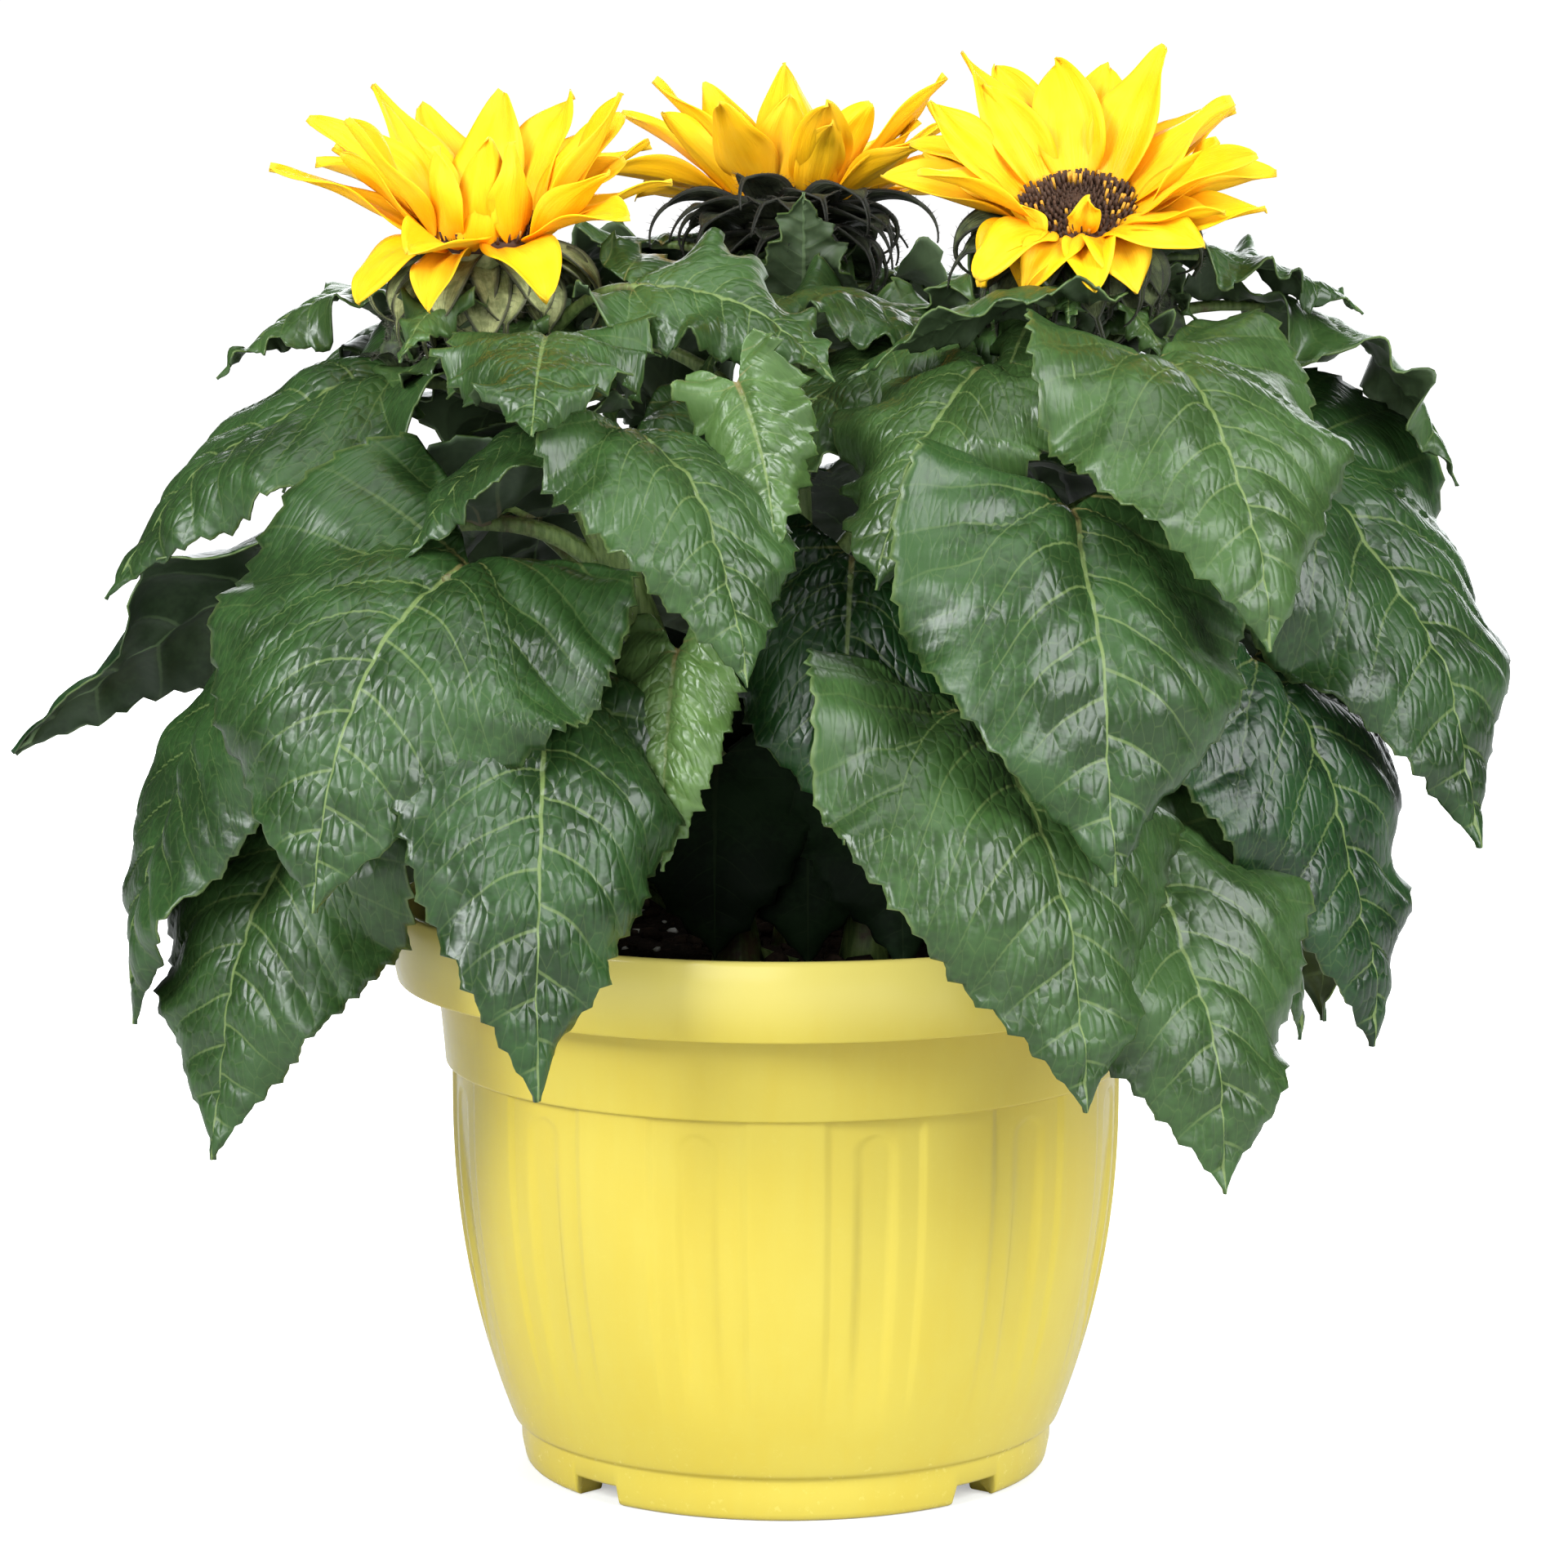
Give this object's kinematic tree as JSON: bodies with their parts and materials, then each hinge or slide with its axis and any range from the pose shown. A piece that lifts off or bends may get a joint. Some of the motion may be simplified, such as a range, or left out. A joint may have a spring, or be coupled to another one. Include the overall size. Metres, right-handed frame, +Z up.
{
  "type": "potted sunflower plant",
  "caption": "Bushy young sunflower plant in a ribbed round plastic pot, with yellow flower heads above large drooping heart-shaped leaves.",
  "frame": {"origin": "middle of the pot's flat underside, where the pot stands", "axes": "+Z up along the pot's axis, -Y towards the front, +X to the right seen from the front"},
  "size_m": [0.3647, 0.3077, 0.3576],
  "materials": {
    "pot": "yellow injection-moulded plastic, semi-gloss",
    "soil": "dark moist compost, matt",
    "stem": "green, finely hairy stem",
    "flower": "soft yellow ray petals round a dark brown disc",
    "bud": "dark green hairy bracts",
    "leaf": "dark green, quilted, slightly glossy leaf"
  },
  "bodies": {
    "root": {"pot": "pot", "soil": "soil", "stem_left": "stem", "stem_back": "stem", "stem_right": "stem", "flower_left": "flower", "flower_back": "flower", "flower_right": "flower", "buds_right": "bud", "buds_left": "bud", "leaf_01": "leaf", "leaf_02": "leaf", "leaf_03": "leaf", "leaf_04": "leaf", "leaf_05": "leaf", "leaf_06": "leaf", "leaf_07": "leaf", "leaf_08": "leaf", "leaf_09": "leaf", "leaf_10": "leaf", "leaf_11": "leaf", "leaf_12": "leaf", "leaf_13": "leaf", "leaf_14": "leaf", "leaf_15": "leaf", "leaf_16": "leaf", "leaf_17": "leaf", "leaf_18": "leaf", "leaf_19": "leaf", "leaf_20": "leaf", "leaf_21": "leaf", "leaf_22": "leaf", "leaf_23": "leaf", "leaf_24": "leaf", "leaf_25": "leaf", "leaf_26": "leaf", "leaf_27": "leaf", "leaf_28": "leaf", "leaf_29": "leaf", "leaf_30": "leaf", "leaf_31": "leaf", "leaf_32": "leaf", "leaf_33": "leaf", "leaf_34": "leaf", "leaf_35": "leaf", "leaf_36": "leaf", "leaf_37": "leaf", "leaf_38": "leaf", "leaf_39": "leaf", "leaf_40": "leaf", "leaf_41": "leaf", "leaf_42": "leaf", "leaf_43": "leaf", "leaf_44": "leaf", "leaf_45": "leaf", "leaf_46": "leaf", "leaf_47": "leaf", "leaf_48": "leaf", "leaf_49": "leaf", "leaf_50": "leaf"}
  },
  "joints": []
}
